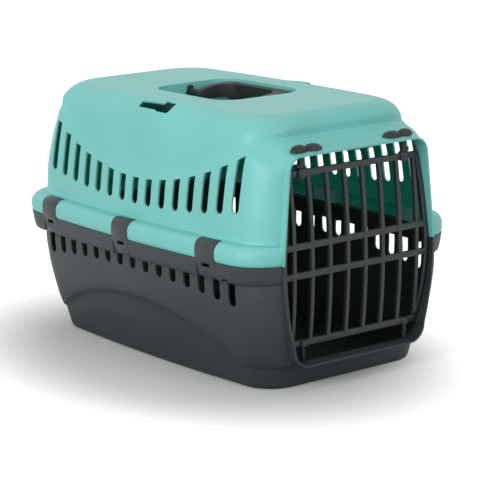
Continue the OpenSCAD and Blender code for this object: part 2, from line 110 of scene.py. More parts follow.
def soften(piece, width, angle=38, segments=2):
    """Breaks the sharp edges as a mould does, and shades the rest smooth."""
    only(piece)
    bevel = piece.modifiers.new("edge radius", "BEVEL")
    bevel.width = width
    bevel.segments = segments
    bevel.limit_method = "ANGLE"
    bevel.angle_limit = math.radians(angle)
    bevel.miter_outer = "MITER_ARC"
    bpy.ops.object.modifier_apply(modifier=bevel.name)
    bpy.ops.object.shade_smooth_by_angle(angle=math.radians(angle - 2))


def finish_piece(piece, body, node, material):
    if material.name not in piece.data.materials:
        piece.data.materials.clear()
        piece.data.materials.append(material)
    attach(piece, body)
    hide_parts(node)


# ---- sizes, in millimetres, in the frame of the drawing ------------------
MM = 0.001
RIM_HALF = 142.5          # half width over the rim
FRONT_Y, REAR_Y = -215.0, 209.0
PARTING_Z = 132.0         # joint of the two shells
ROOF_Z = 272.0
SHOULDER_H = 32.0
LIP_Z = ROOF_Z - 35.5     # upper edge of the doorway
SILL_Z = 27.5             # lower edge of the doorway
WALL = 2.0
BARREL = 0.00024          # bow of the long sides
GAP = 0.3
RIM_H = 20.0
BAND_H = 19.0
PROUD = 2.0
CREASE_Z = PARTING_Z + RIM_H
WALL_HALF = RIM_HALF - 15.0
SHOULDER_Z = ROOF_Z - SHOULDER_H
ROOF_HALF = WALL_HALF - 43.5
LEDGE_Z = LIP_Z + 6.0
FLOOR_Z = 0.5
ARCH_TOP = PARTING_Z - 64.0
VENTS, VENT_PITCH, VENT_Y0, VENT_W = 15, 22.85, 155.5, 10.6
ZONE_Y, ZONE_DIP, ZONE_RISE = -4.0, 46.3, 39.2
PIN_X, PIN_Y, PIN_D = 67.0, -203.0, 6.0
CLIP_W, CLIP_T, CLIP_PITCH, CLIP_Y0 = 29.0, 4.0, 140.0, 1.0
TUB_HX, TUB_HY, TUB_R, TUB_D = 54.0, 67.0, 26.0, 26.0
HOOK_X, HOOK_L, HOOK_GAP = 94.6, 34.0, 6.0
HINGE_Z = ROOF_Z - 10.5   # hinge line of the handle
REACH, GRIP_HY, GRIP_R, GRIP_DEPTH, ARM_W = 51.5, 53.0, 11.0, 15.5, 8.0
HUB_R, AXLE_D = 4.1, 5.0
GROOVE_PITCH, GROOVE_W = 6.4, 2.8
SHIFT_Y = -(FRONT_Y + REAR_Y) / 2


# ---- lofted shells --------------------------------------------------------
def mix(a, b, t):
    return a + (b - a) * t


def bow(y):
    return BARREL * y * y


def arc_points(cx, cy, radius, start, end, steps):
    """Points on an arc, angles in radians from +X."""
    turns = [mix(start, end, i / steps) for i in range(steps + 1)]
    return [(cx + radius * math.cos(a), cy + radius * math.sin(a)) for a in turns]


FRONT_STEPS, CORNER_STEPS, SIDE_STEPS, BACK_STEPS = 12, 20, 56, 16
HALF_COUNT = 2 * FRONT_STEPS + CORNER_STEPS + SIDE_STEPS + BACK_STEPS


def ring_point(i, half, front, rear, front_r, rear_r):
    """One point of a plan outline with bowed sides: half width, front, rear and both corner radii."""
    if i > HALF_COUNT:
        x, y = ring_point(2 * HALF_COUNT - i, half, front, rear, front_r, rear_r)
        return -x, y
    if i < FRONT_STEPS + CORNER_STEPS:
        turn = math.atan(-2 * BARREL * (front + front_r))
        y1 = front + front_r * (1 - math.sin(turn))
        x1 = half - bow(y1) - front_r * math.cos(turn)
        if i < FRONT_STEPS:
            return x1 * i / FRONT_STEPS, front
        a = mix(math.pi / 2, turn, (i - FRONT_STEPS) / CORNER_STEPS)
        return x1 + front_r * math.cos(a), front + front_r - front_r * math.sin(a)
    turn = math.atan(2 * BARREL * (rear - rear_r))
    y2 = rear - rear_r * (1 - math.sin(turn))
    i -= FRONT_STEPS + CORNER_STEPS
    if i < SIDE_STEPS:
        y1 = front + front_r * (1 - math.sin(math.atan(-2 * BARREL * (front + front_r))))
        y = mix(y1, y2, i / SIDE_STEPS)
        return half - bow(y), y
    x2 = half - bow(y2) - rear_r * math.cos(turn)
    i -= SIDE_STEPS
    if i <= BACK_STEPS:
        a = mix(turn, math.pi / 2, i / BACK_STEPS)
        return x2 + rear_r * math.cos(a), rear - rear_r + rear_r * math.sin(a)
    return x2 * (1 - (i - BACK_STEPS) / FRONT_STEPS), rear


def ring(*form):
    return [ring_point(i, *form) for i in range(2 * HALF_COUNT)]


def lift(points, z):
    return [(x, y, z) for x, y in points]


def eased(knots, values, at):
    """Monotone cubic through the values, so that a step never overshoots."""
    slopes = [(b - a) / (s - r) for a, b, r, s in zip(values, values[1:], knots, knots[1:])]
    tangents = [slopes[0]]
    for before, after in zip(slopes, slopes[1:]):
        tangents.append(2 * before * after / (before + after) if before * after > 0 else 0.0)
    tangents.append(slopes[-1])
    found = []
    for k, t in at:
        span = knots[k + 1] - knots[k]
        s, q = t, 1 - t
        found.append((1 + 2 * s) * q * q * values[k] + s * q * q * span * tangents[k]
                     + s * s * (3 - 2 * s) * values[k + 1] - s * s * q * span * tangents[k + 1])
    return found


def smooth_rings(rings, steps):
    """More rings between the given ones, on a smooth curve through each column of points."""
    at = [(k, i / steps[k]) for k in range(len(rings) - 1) for i in range(steps[k])]
    at.append((len(rings) - 2, 1.0))
    columns = []
    for column in zip(*rings):
        knots = [0.0]
        for p, q in zip(column, column[1:]):
            knots.append(knots[-1] + max(math.dist(p, q), 0.05))
        columns.append(list(zip(*(eased(knots, [p[axis] for p in column], at) for axis in range(3)))))
    return [list(points) for points in zip(*columns)]


def mesh_piece(name, points, faces):
    """A new object from points in millimetres in the drawing's frame."""
    mesh = bpy.data.meshes.new(name)
    mesh.from_pydata([(x * MM, (y + SHIFT_Y) * MM, z * MM) for x, y, z in points], [], faces)
    piece = bpy.data.objects.new(name, mesh)
    bpy.context.scene.collection.objects.link(piece)
    return piece


def loft(name, rings):
    """Closed skin through rings of equal length, with a strip of quads over each end."""
    count = len(rings[0])
    faces = []
    for j in range(len(rings) - 1):
        below, above = j * count, (j + 1) * count
        for i in range(count):
            after = (i + 1) % count
            faces.append((below + i, below + after, above + after, above + i))
    half = count // 2
    top = (len(rings) - 1) * count
    for i in range(half):
        a, b, c, d = i, i + 1, (count - i - 1) % count, (count - i) % count
        faces.append((a, d, c, b) if i and i < half - 1 else (a, c, b) if not i else (a, d, b))
        a, b, c, d = a + top, b + top, c + top, d + top
        faces.append((a, b, c, d) if i and i < half - 1 else (a, b, c) if not i else (a, b, d))
    return mesh_piece(name, [p for level in rings for p in level], faces)


def prism(name, outline, axis, low, high):
    """An outline of two coordinates pushed along an axis."""
    def point(u, v, w):
        return {"x": (w, u, v), "y": (u, w, v), "z": (u, v, w)}[axis]
    count = len(outline)
    points = [point(u, v, w) for w in (low, high) for u, v in outline]
    faces = [tuple(reversed(range(count))), tuple(range(count, 2 * count))]
    faces += [(i, (i + 1) % count, count + (i + 1) % count, count + i) for i in range(count)]
    piece = mesh_piece(name, points, faces)
    outward(piece)
    return piece


def outward(piece):
    only(piece)
    bpy.ops.object.mode_set(mode="EDIT")
    bpy.ops.mesh.select_all(action="SELECT")
    bpy.ops.mesh.normals_make_consistent(inside=False)
    bpy.ops.object.mode_set(mode="OBJECT")


def combine(piece, others, operation):
    """Adds or cuts closed pieces that stand clear of one another, and deletes them."""
    others = list(others)
    only(*others)
    if len(others) > 1:
        bpy.ops.object.join()
    other = others[0]
    only(piece)
    step = piece.modifiers.new(operation.lower(), "BOOLEAN")
    step.operation = operation
    step.solver = "MANIFOLD"
    step.object = other
    bpy.ops.object.modifier_apply(modifier=step.name)
    bpy.data.meshes.remove(other.data)
    return piece


# ---- form of the top shell ------------------------------------------------
def lean(z):
    t = (z - CREASE_Z) / (SHOULDER_Z - CREASE_Z)
    return 0.0 if t < 0 else 4.7 * t + 9.1 * t * t


def round_in(z, start, depth):
    """Quarter round from a height up to the roof."""
    if z <= start:
        return 0.0
    return depth * (1 - math.sqrt(max(0.0, 1 - ((z - start) / (ROOF_Z - start)) ** 2)))


def side_x(z):
    if z <= SHOULDER_Z:
        return WALL_HALF - lean(z)
    reach = WALL_HALF - lean(SHOULDER_Z) - ROOF_HALF
    return ROOF_HALF + reach * math.sqrt(max(0.0, 1 - ((z - SHOULDER_Z) / (ROOF_Z - SHOULDER_Z)) ** 2))


def rear_top(z):
    return REAR_Y - 9 - lean(min(z, SHOULDER_Z)) * 0.9 - round_in(z, SHOULDER_Z, 18)


def front_low(z):
    return FRONT_Y + 1.5 + max(0.0, z - CREASE_Z) * 0.02


def front_high(z):
    return FRONT_Y + 31 + max(0.0, z - ROOF_Z + 20) * 0.1 + round_in(z, ROOF_Z - 15, 20)


def zone_z(y):
    """Upper edge of the proud, slotted zone of the side."""
    return min(LEDGE_Z, LEDGE_Z - ZONE_DIP + ZONE_RISE * ((y - ZONE_Y) / 160) ** 2)


def front_share(y):
    """How much an outline point belongs to the front, 0 to 1."""
    t = min(1.0, max(0.0, (FRONT_Y + 50 - y) / 42))
    return t * t * (3 - 2 * t)


def corner_share(y):
    """How much an outline point belongs to a front corner of the visor, 0 to 1."""
    u = max(0.0, min(1.0, (FRONT_Y + 46 - y) / 46))
    v = math.sqrt(1 - u * u)
    return 2 * u * v * min(1.0, 2 * v * v)


def drawn(y, old, new):
    """Moves the front of an outline from one depth to another, easing out rearwards."""
    start = FRONT_Y + 85
    return y if y > start else start + (y - start) * (new - start) / (old - start)


# Six rings carry the step above the slots and, at the front, the visor's shelf.
STEP_Z = (-3, -1.2, 0.6, 2.2, 3.6, 5)
STEP_IN = (0, 0.3, 0.8, 1.4, 1.8, PROUD)
SHELF_UP = (-8.6, -4.6, -3.3, -1.6, 3.8, 9)
SHELF_BACK = (0.9, 1.4, 4.5, 17, 27, 32)
SHELF_IN = (0.6, 1.0, 1.8, 3.2, 4.6, 5)
CORNER_DROP = (9, 8, 6.5, 3.8, 1.6, 3)
CORNER_IN = (0.5, 1.5, 2.6, 1.5, 0, -0.5)


def step_height(k, y):
    level = mix(zone_z(y) + STEP_Z[k], LEDGE_Z + SHELF_UP[k], front_share(y))
    return level - CORNER_DROP[k] * corner_share(y)


def step_point(k, i, y, inset):
    share = front_share(y)
    z = step_height(k, y)
    e = inset + CORNER_IN[k] * corner_share(y)
    x, y0 = ring_point(i, side_x(z) - mix(STEP_IN[k], SHELF_IN[k], share) - e, front_low(z) + e,
                       rear_top(z) - STEP_IN[k] - e, 45 - e, 40 - e)
    return x, drawn(y0, front_low(z) + e, FRONT_Y + SHELF_BACK[k] + e), z


def low_point(i, z, inset):
    x, y = ring_point(i, side_x(min(z, SHOULDER_Z)) - inset, front_low(z) + inset,
                      rear_top(min(z, SHOULDER_Z)) - inset, 45 - inset, 40 - inset)
    return x, y, z


def high_point(i, z, inset, share):
    x, y = ring_point(i, side_x(z) - mix(PROUD, SHELF_IN[5], share) - inset, front_low(z) + inset,
                      rear_top(z) - PROUD - inset, 43 - inset, 34 - inset)
    return x, drawn(y, front_low(z) + inset, front_high(z) + inset), z


def top_rings(o):
    """Rings of the top shell's skin, drawn in by an inset."""
    base = ring(RIM_HALF - o, FRONT_Y + o, REAR_Y - o, 46 - o, 42 - o)
    down = -o
    foot = PARTING_Z + GAP - (1 if o else 0)
    index = range(len(base))
    rings = [
        lift(ring(RIM_HALF - 1.5 - o, FRONT_Y + 1.5 + o, REAR_Y - 1.5 - o, 45, 41), foot),
        lift(base, PARTING_Z + 4),
        lift(base, PARTING_Z + 11 + down),
        lift(ring(RIM_HALF - 2.5 - o, FRONT_Y + 0.6 + o, REAR_Y - 2 - o, 45, 41), PARTING_Z + 16 + down),
        lift(ring(RIM_HALF - 7 - o, FRONT_Y + 1.1 + o, REAR_Y - 5 - o, 43, 40), PARTING_Z + 19.3 + down),
        [low_point(i, CREASE_Z, o + 0.4)[:2] + (CREASE_Z + 0.2 + down,) for i in index],
    ]
    for t in (0.34, 0.67):
        rings.append([low_point(i, mix(CREASE_Z, step_height(0, base[i][1]), t) + down, o) for i in index])
    for k in range(6):
        rings.append([(x, y, z + down) for x, y, z in (step_point(k, i, base[i][1], o) for i in index)])
    for t in (0.2, 0.4, 0.6, 0.8, 0.91, 1):
        level = []
        for i in index:
            low = step_height(5, base[i][1])
            z = low + (ROOF_Z - low) * math.sin(t * math.pi / 2) + down
            level.append(high_point(i, z, o, front_share(base[i][1])))
        rings.append(level)
    return smooth_rings(rings, (2, 2, 2, 2, 3, 6, 5, 4, 1, 1, 1, 1, 1, 5, 4, 4, 4, 3, 3))


# ---- form of the base -----------------------------------------------------
def base_drop(z):
    d = PARTING_Z - 20 - z
    return 0.02 * d + 0.00145 * d * d


def base_x(z):
    return RIM_HALF - 11.5 - base_drop(z)


def plinth_x(z):
    return RIM_HALF - 34 + 15.5 * (max(z, 0) / 62) ** 0.85


def arch_z(y):
    """Upper edge of the plinth, arched along the sides."""
    return max(SILL_Z - 3, ARCH_TOP - 40 * ((y - 5) / 172) ** 2)


def wall_point(i, z, o):
    drop = base_drop(z)
    x, y = ring_point(i, base_x(z) - o, FRONT_Y + 2.5 + drop * 0.85 + o, REAR_Y - 13 - drop - o,
                      40 - o, 38 - o)
    return x, y, z


def plinth_point(i, z, o):
    x, y = ring_point(i, min(plinth_x(z), base_x(z) - PROUD) - o, FRONT_Y + 25.5 - z * 0.12 + o,
                      REAR_Y - 31 + z * 0.12 - o, 34 - o, 34 - o)
    return x, y, z


def base_rings(o):
    base = ring(RIM_HALF, FRONT_Y, REAR_Y, 42, 42)
    index = range(len(base))
    low = FLOOR_Z + o
    rings = [[plinth_point(i, z, inset) for i in index]
             for z, inset in ((low, o + 1.6), (low + 0.7, o + 0.5), (low + 2, o))]
    for t in (0.5, 0.97):
        rings.append([plinth_point(i, mix(low + 2, arch_z(base[i][1]), t), o) for i in index])
    for t in (0, 0.25, 0.5, 0.75, 1):
        rings.append([wall_point(i, mix(arch_z(y) + 2, PARTING_Z + (1 if o else 0), t),
                                 o + (2 if o and t < 0.1 else 0)) for i, (_, y) in enumerate(base)])
    return smooth_rings(rings, (2, 2, 8, 8, 2, 5, 5, 5, 5))


def band_ring(z, o):
    """Band under the joint of the shells, drawn in a little towards its foot."""
    d = (PARTING_Z - z) * 0.14
    outline = ring(RIM_HALF - 0.6 - d - o, FRONT_Y + 0.6 + d + o, REAR_Y - 0.6 - d - o, 45 - o, 41 - o)
    return lift(outline, z)


# ---- cut-outs -------------------------------------------------------------
DOOR_HALF = 97.0          # half width of the doorway at the joint of the shells
DOOR_TOP_R, DOOR_LOW_R = 15.0, 17.0


def open_x(z):
    """Half width of the doorway, widest at the joint of the shells."""
    if z > PARTING_Z:
        return DOOR_HALF - 8.5 * (z - PARTING_Z) / (LIP_Z - DOOR_TOP_R - PARTING_Z)
    return DOOR_HALF - 13 * ((PARTING_Z - z) / (PARTING_Z - SILL_Z - DOOR_LOW_R)) ** 2


def doorway(name, grow, front, rear, low=0.0, high=400.0):
    """Prism of the doorway's outline, grown by a margin, between two heights."""
    top_r, low_r = DOOR_TOP_R, DOOR_LOW_R
    xt, xb = open_x(LIP_Z - top_r) - top_r, open_x(SILL_Z + low_r) - low_r
    right = arc_points(xb, SILL_Z + low_r, low_r + grow, -math.pi / 2, 0, 10)
    right += [(open_x(z) + grow, z) for z in (mix(SILL_Z + low_r, PARTING_Z, i / 10) for i in range(1, 11))]
    right += [(open_x(z) + grow, z) for z in (mix(PARTING_Z, LIP_Z - top_r, i / 6) for i in range(1, 6))]
    right += arc_points(xt, LIP_Z - top_r, top_r + grow, 0, math.pi / 2, 12)
    outline = [(x, min(high, max(low, z))) for x, z in right]
    outline += [(-x, z) for x, z in reversed(outline)]
    kept = [p for p, q in zip(outline, outline[1:] + outline[:1]) if math.dist(p, q) > 0.02]
    return prism(name, kept, "y", front, rear)


def slot_outline(y, low, high_left, high_right, width):
    """Upright slot with a round foot; the two upper corners may stand at different heights."""
    half = width / 2
    points = arc_points(y, low + half, half, math.pi, 2 * math.pi, 10)
    return points + [(y + half, high_right), (y - half, high_left)]


def rounded_outline(cx, cy, hx, hy, radius):
    """Rectangle with round corners, given by its centre and half sizes."""
    points = []
    for turn, (sx, sy) in enumerate(((1, 1), (-1, 1), (-1, -1), (1, -1))):
        points += arc_points(cx + sx * (hx - radius), cy + sy * (hy - radius), radius,
                             turn * math.pi / 2, (turn + 1) * math.pi / 2, 8)
    return points


def circle(cx, cy, radius, steps):
    return arc_points(cx, cy, radius, 0, 2 * math.pi, steps)[:-1]


def clip_places():
    """Side, place along it, half width there and slope of the bowed rim, for each clip."""
    for side in (-1, 1):
        for row in (-1, 0, 1):
            y = CLIP_Y0 + row * CLIP_PITCH
            yield side, y, RIM_HALF - bow(y), 2 * BARREL * y


def clip_box(name, inner, outer, half_width, low, high):
    """A block at each clip, from and to a distance inside the rim's face."""
    ends = ((inner, -half_width), (outer, -half_width), (outer, half_width), (inner, half_width))
    for side, y, x, slope in clip_places():
        corners = []
        for depth, along in ends:
            corners.append((side * (x + depth) - side * slope * along, y + along + slope * depth))
        yield prism(f"{name}_{side}_{y:.0f}", corners, "z", low, high)


def pin_cylinders(name, radius, low, high):
    for side in (-1, 1):
        yield prism(f"{name}_{side}", circle(side * PIN_X, PIN_Y, radius, 32), "z", low, high)


def skin_z(x):
    """Height of the rounded shoulder at a half width."""
    reach = WALL_HALF - lean(SHOULDER_Z) - ROOF_HALF
    return SHOULDER_Z + SHOULDER_H * math.sqrt(1 - ((x + PROUD - ROOF_HALF) / reach) ** 2)


# ---- materials ----------------------------------------------------------
def add(tree, kind, links=None, **settings):
    """One node, with its settings and its incoming links."""
    made = tree.nodes.new(kind)
    for key, value in settings.items():
        if key in made.inputs:
            made.inputs[key].default_value = value
        else:
            setattr(made, key, value)
    for socket, source in (links or {}).items():
        tree.links.new(source, made.inputs[socket])
    return made


def remap(tree, source, span, out, **settings):
    """Maps one span of values to another."""
    ends = {"From Min": span[0], "From Max": span[1], "To Min": out[0], "To Max": out[1]}
    return add(tree, "ShaderNodeMapRange", {"Value": source}, **ends, **settings).outputs["Result"]


def blank_material(name):
    found = bpy.data.materials.new(name)
    found.use_nodes = True
    found.node_tree.nodes.clear()
    return found, found.node_tree


def moulded_polypropylene(name, hex_colour, hex_worn, roughness, grain_mm, grain_depth):
    """Injection-moulded polypropylene from a lightly sparked mould.

    A satin skin with a fine grain, faint flow clouds in gloss and colour, and a few rubbed patches.
    """
    material, tree = blank_material(name)
    place = add(tree, "ShaderNodeTexCoord").outputs["Object"]
    # Flow clouds, about 90 mm across, where the melt front cooled at different rates.
    flow = add(tree, "ShaderNodeTexNoise", {"Vector": place}, Scale=11.0, Detail=2.0, Roughness=0.45)
    # Scuffs from handling, some 25 mm long and thin.
    stretch = add(tree, "ShaderNodeMapping", {"Vector": place},
                  Scale=(30.0, 9.0, 55.0), Rotation=(0.3, 0.2, 0.5))
    scuff = add(tree, "ShaderNodeTexNoise", {"Vector": stretch.outputs["Vector"]},
                Scale=1.0, Detail=5.0, Roughness=0.62)
    rubbed = remap(tree, scuff.outputs["Fac"], (0.60, 0.80), (0.0, 0.35))
    # Mould grain: 0.25 mm in life, drawn coarser so that it shows.
    grain = add(tree, "ShaderNodeTexNoise", {"Vector": place},
                Scale=1000.0 / grain_mm, Detail=2.0, Roughness=0.6)
    tone = remap(tree, flow.outputs["Fac"], (0.3, 0.7), (0.94, 1.04))
    colour = add(tree, "ShaderNodeMix", {"Factor": rubbed}, data_type="RGBA")
    colour.inputs["A"].default_value = linear(hex_colour)
    colour.inputs["B"].default_value = linear(hex_worn)
    shade = add(tree, "ShaderNodeHueSaturation", {"Value": tone, "Color": colour.outputs["Result"]})
    # Rubbed patches are duller: roughness grows by their share.
    polish = remap(tree, flow.outputs["Fac"], (0.3, 0.7), (roughness - 0.05, roughness + 0.05))
    rough = add(tree, "ShaderNodeMath", {0: polish, 1: rubbed, 2: polish}, operation="MULTIPLY_ADD")
    bump = add(tree, "ShaderNodeBump", {"Height": grain.outputs["Fac"]}, Strength=0.35, Distance=grain_depth)
    skin = {"Base Color": shade.outputs["Color"], "Roughness": rough.outputs["Value"],
            "Normal": bump.outputs["Normal"]}
    shader = add(tree, "ShaderNodeBsdfPrincipled", skin, IOR=1.49)
    add(tree, "ShaderNodeOutputMaterial", {"Surface": shader.outputs["BSDF"]})
    return material


# ---- settings -----------------------------------------------------------
class CarrierSizes(bpy.types.PropertyGroup):
    """Sizes that a user would change, in metres."""
    bar_edge: bpy.props.FloatProperty(
        name="Bar edge radius", description="Radius on the edges of the grille bars",
        default=0.0009, min=0.0001, max=0.0018, unit="LENGTH")
    grip_edge: bpy.props.FloatProperty(
        name="Grip edge radius", description="Radius on the arms and grip of the handle",
        default=0.0014, min=0.0002, max=0.003, unit="LENGTH")
    fitting_edge: bpy.props.FloatProperty(
        name="Clip edge radius", description="Radius on the rim clips",
        default=0.0006, min=0.0001, max=0.002, unit="LENGTH")


class CarrierColours(bpy.types.PropertyGroup):
    """Colours as sRGB hex."""
    shell: bpy.props.StringProperty(
        name="Top shell", description="Sea green of the top shell", default="#79CBC5")
    shell_inside: bpy.props.StringProperty(
        name="Top shell, inside", description="Deep green of the inner face", default="#27C4A3")
    base: bpy.props.StringProperty(
        name="Base", description="Charcoal of the base", default="#2B3336")
    # Darker than the base's outside though it is the same plastic: painted shade inside the base.
    base_inside_painted_shade: bpy.props.StringProperty(
        name="Base, inside", description="Near black of the inner face", default="#1E2223")
    grille: bpy.props.StringProperty(
        name="Grille", description="Charcoal of the door", default="#262B2D")
    fitting: bpy.props.StringProperty(
        name="Clips", description="Charcoal of the rim clips", default="#2B3336")
    grip: bpy.props.StringProperty(
        name="Grips", description="Black of the lift pins and the handle", default="#131718")


def sizes():
    return bpy.context.scene.carrier_sizes


def colours():
    return bpy.context.scene.carrier_colours


# ---- pieces -------------------------------------------------------------
def hollow(piece, cutters):
    """Cuts closed pieces out of a piece."""
    return combine(piece, cutters, "DIFFERENCE")


def clean_cuts(piece):
    """Joins crumbs left by the cuts, then shades smooth all but the sharp edges."""
    only(piece)
    bpy.ops.object.mode_set(mode="EDIT")
    bpy.ops.mesh.select_all(action="SELECT")
    bpy.ops.mesh.remove_doubles(threshold=0.00012)
    bpy.ops.mesh.dissolve_degenerate(threshold=0.00005)
    bpy.ops.object.mode_set(mode="OBJECT")
    bpy.ops.object.shade_smooth_by_angle(angle=math.radians(32))


def lined(piece, outside, inside, used):
    """Gives a loft both skins, so that what an inner one cuts keeps the inner skin."""
    piece.data.materials.append(outside)
    piece.data.materials.append(inside)
    for face in piece.data.polygons:
        face.material_index = used
    return piece


def side_slots(name, ends, reach):
    """Cutters for one row of slots; each goes through both sides."""
    cutters = []
    for i in range(VENTS):
        y = VENT_Y0 - i * VENT_PITCH
        low, left, right = ends(y)
        cutters.append(prism(f"{name}_{i}", slot_outline(y, low, left, right, VENT_W), "x", -reach, reach))
    return cutters


def upper_slot_ends(y):
    half = VENT_W / 2
    left = zone_z(y - half) - 2
    return CREASE_Z + 15 + 12.8 * ((y - ZONE_Y) / 160) ** 2, left, min(zone_z(y + half) - 2, left + 2)


def lower_slot_ends(y):
    return PARTING_Z - 33 - 11 * (y / 160) ** 2, PARTING_Z - 15, PARTING_Z - 15


def tongue(side):
    """Strap tongue over its slot: rooted in the skin at the rear, free at the front."""
    end = HOOK_L / 2
    profile = [(end + 6, -1.9), (end + 6, -0.8), (end - 1, -0.7), (end - 6, 0.5), (0, 1.3), (-end, 2.1),
               (-end - 4, 2), (-end - 5, 1.2), (-end - 4, 0.2), (0, -0.7), (end - 4, -1.7)]
    slope = math.atan(skin_z(HOOK_X - 0.5) - skin_z(HOOK_X + 0.5))
    piece = prism(f"tongue_{side}", profile, "x", -2.0, 2.0)
    turn = Matrix.Rotation(side * slope, 4, "Y")
    shift = Matrix.Translation((side * HOOK_X * MM, 0, skin_z(HOOK_X) * MM))
    centre = Matrix.Translation((0, SHIFT_Y * MM, 0))
    piece.data.transform(centre @ shift @ turn @ centre.inverted())
    return piece


class CARRIER_OT_top_shell(bpy.types.Operator):
    """Sea-green top shell: lofted skin, doorway rim, slots, handle recess and strap tongues"""
    bl_idname = "carrier.top_shell"
    bl_label = "Top shell"

    def execute(self, context):
        skin = moulded_polypropylene("moulded polypropylene, sea green", colours().shell, "#8AD2CC",
                                     0.42, 1.3, 0.00012)
        inside = moulded_polypropylene("moulded polypropylene, inner green", colours().shell_inside,
                                       "#2FCBAC", 0.55, 1.3, 0.00012)
        above = ROOF_Z + 20
        piece = lined(loft("top_shell_moulding", top_rings(0)), skin, inside, 0)
        rim = doorway("rim_bead", WALL, FRONT_Y + 0.4, FRONT_Y + 17, low=PARTING_Z + GAP)
        combine(piece, [rim], "UNION")
        space = lined(loft("inside", top_rings(WALL)), skin, inside, 1)
        hollow(space, [doorway("lining", WALL, FRONT_Y - 20, FRONT_Y + 17, low=PARTING_Z - 1)])
        tub_wall = rounded_outline(0, 0, TUB_HX + WALL, TUB_HY + WALL, TUB_R + WALL)
        hollow(space, [prism("tub_wall", tub_wall, "z", ROOF_Z - TUB_D - WALL, above)])
        hollow(space, pin_cylinders("boss", PIN_D / 2 + 4, LIP_Z, LIP_Z + 20))
        hollow(space, clip_box("clip_wall", -CLIP_T - GAP - 4, 20, CLIP_W / 2 + 4,
                               PARTING_Z - 1, CREASE_Z - CLIP_T + 1))
        hollow(piece, [space])
        hollow(piece, [doorway("way", 0, FRONT_Y - 20, FRONT_Y + 27, low=PARTING_Z - 10)])
        hollow(piece, side_slots("slot", upper_slot_ends, 2 * RIM_HALF))
        tub = rounded_outline(0, 0, TUB_HX, TUB_HY, TUB_R)
        hollow(piece, [prism("tub", tub, "z", ROOF_Z - TUB_D, above)])
        hollow(piece, pin_cylinders("pin_hole", PIN_D / 2 + 0.06, LIP_Z - 20, LIP_Z + 40))
        for side in (-1, 1):
            inner, outer = HOOK_X - 3, HOOK_X + 2 + HOOK_GAP
            middle = side * (inner + outer) / 2
            slot = rounded_outline(middle, 0, (outer - inner) / 2, HOOK_L / 2, 2.5)
            hollow(piece, [prism("strap_slot", slot, "z", ROOF_Z - 30, ROOF_Z + 10)])
            mouth = rounded_outline(middle, -HOOK_L / 2 - 7, (outer + 1 - inner) / 2 + 0.5, 12, 4)
            hollow(piece, [prism("strap_mouth", mouth, "z", ROOF_Z - 30, ROOF_Z + 10)])
        hollow(piece, clip_box("notch", -CLIP_T - GAP, 20, CLIP_W / 2 + GAP,
                               PARTING_Z - 2, PARTING_Z + RIM_H + 8))
        hollow(piece, clip_box("seat", -12, 18, CLIP_W / 2 + GAP, CREASE_Z - CLIP_T - GAP, CREASE_Z + 6))
        combine(piece, [tongue(-1), tongue(1)], "UNION")
        clean_cuts(piece)
        finish_piece(piece, "carrier", "top_shell", skin)
        return {"FINISHED"}


class CARRIER_OT_base_shell(bpy.types.Operator):
    """Charcoal base: lofted tray on an arched plinth, band, slots, feet and clip pockets"""
    bl_idname = "carrier.base_shell"
    bl_label = "Base shell"

    def execute(self, context):
        skin = moulded_polypropylene("moulded polypropylene, charcoal", colours().base, "#384043",
                                     0.5, 1.3, 0.00014)
        # The inner skin and its worn tone are darker than the outer ones, on the same plastic: painted shade
        # inside the base.
        inside = moulded_polypropylene("moulded polypropylene, inner charcoal", colours().base_inside_painted_shade,
                                       "#282C2D", 0.6, 1.3, 0.00014)
        piece = lined(loft("base_shell_moulding", base_rings(0)), skin, inside, 0)
        band_foot = PARTING_Z - BAND_H
        band_levels = [band_ring(band_foot, 1.5), band_ring(band_foot + 2, 0), band_ring(PARTING_Z, 0)]
        band = loft("band", smooth_rings(band_levels, (3, 4)))
        space = loft("under_band", [band_ring(band_foot - 2, WALL), band_ring(PARTING_Z - WALL, WALL)])
        hollow(space, clip_box("clip_pad", -16, 14, CLIP_W / 2 + 6, band_foot - 5, PARTING_Z + 2))
        hollow(band, [space])
        combine(piece, [band], "UNION")
        rim = doorway("rim_bead", WALL, FRONT_Y + 0.8, FRONT_Y + 17, high=PARTING_Z)
        combine(piece, [rim], "UNION")
        feet = []
        for side in (-1, 1):
            for y in (FRONT_Y + 43, REAR_Y - 49):
                feet.append(prism("foot", circle(side * (plinth_x(0) - 20.5), y, 5.5, 32), "z", 0, 4))
        combine(piece, feet, "UNION")
        space = lined(loft("inside", base_rings(WALL)), skin, inside, 1)
        hollow(space, [doorway("lining", WALL, FRONT_Y - 20, FRONT_Y + 17, low=SILL_Z - 8, high=PARTING_Z)])
        hollow(piece, [space])
        hollow(piece, [doorway("way", 0, FRONT_Y - 20, FRONT_Y + 27, high=PARTING_Z + 1)])
        hollow(piece, side_slots("slot", lower_slot_ends, RIM_HALF - 9))
        hollow(piece, clip_box("pocket", -12, 18, CLIP_W / 2 + GAP, band_foot - 5, PARTING_Z + 5))
        clean_cuts(piece)
        finish_piece(piece, "carrier", "base_shell", skin)
        return {"FINISHED"}


class CARRIER_OT_door(bpy.types.Operator):
    """Grille door with rounded bars"""
    bl_idname = "carrier.door"
    bl_label = "Door"

    def execute(self, context):
        skin = moulded_polypropylene("moulded polypropylene, grille charcoal", colours().grille, "#33393B",
                                     0.42, 1.1, 0.0001)
        piece = merged_copy("door", "grille_door")
        soften(piece, sizes().bar_edge, angle=40)
        finish_piece(piece, "door", "door", skin)
        return {"FINISHED"}


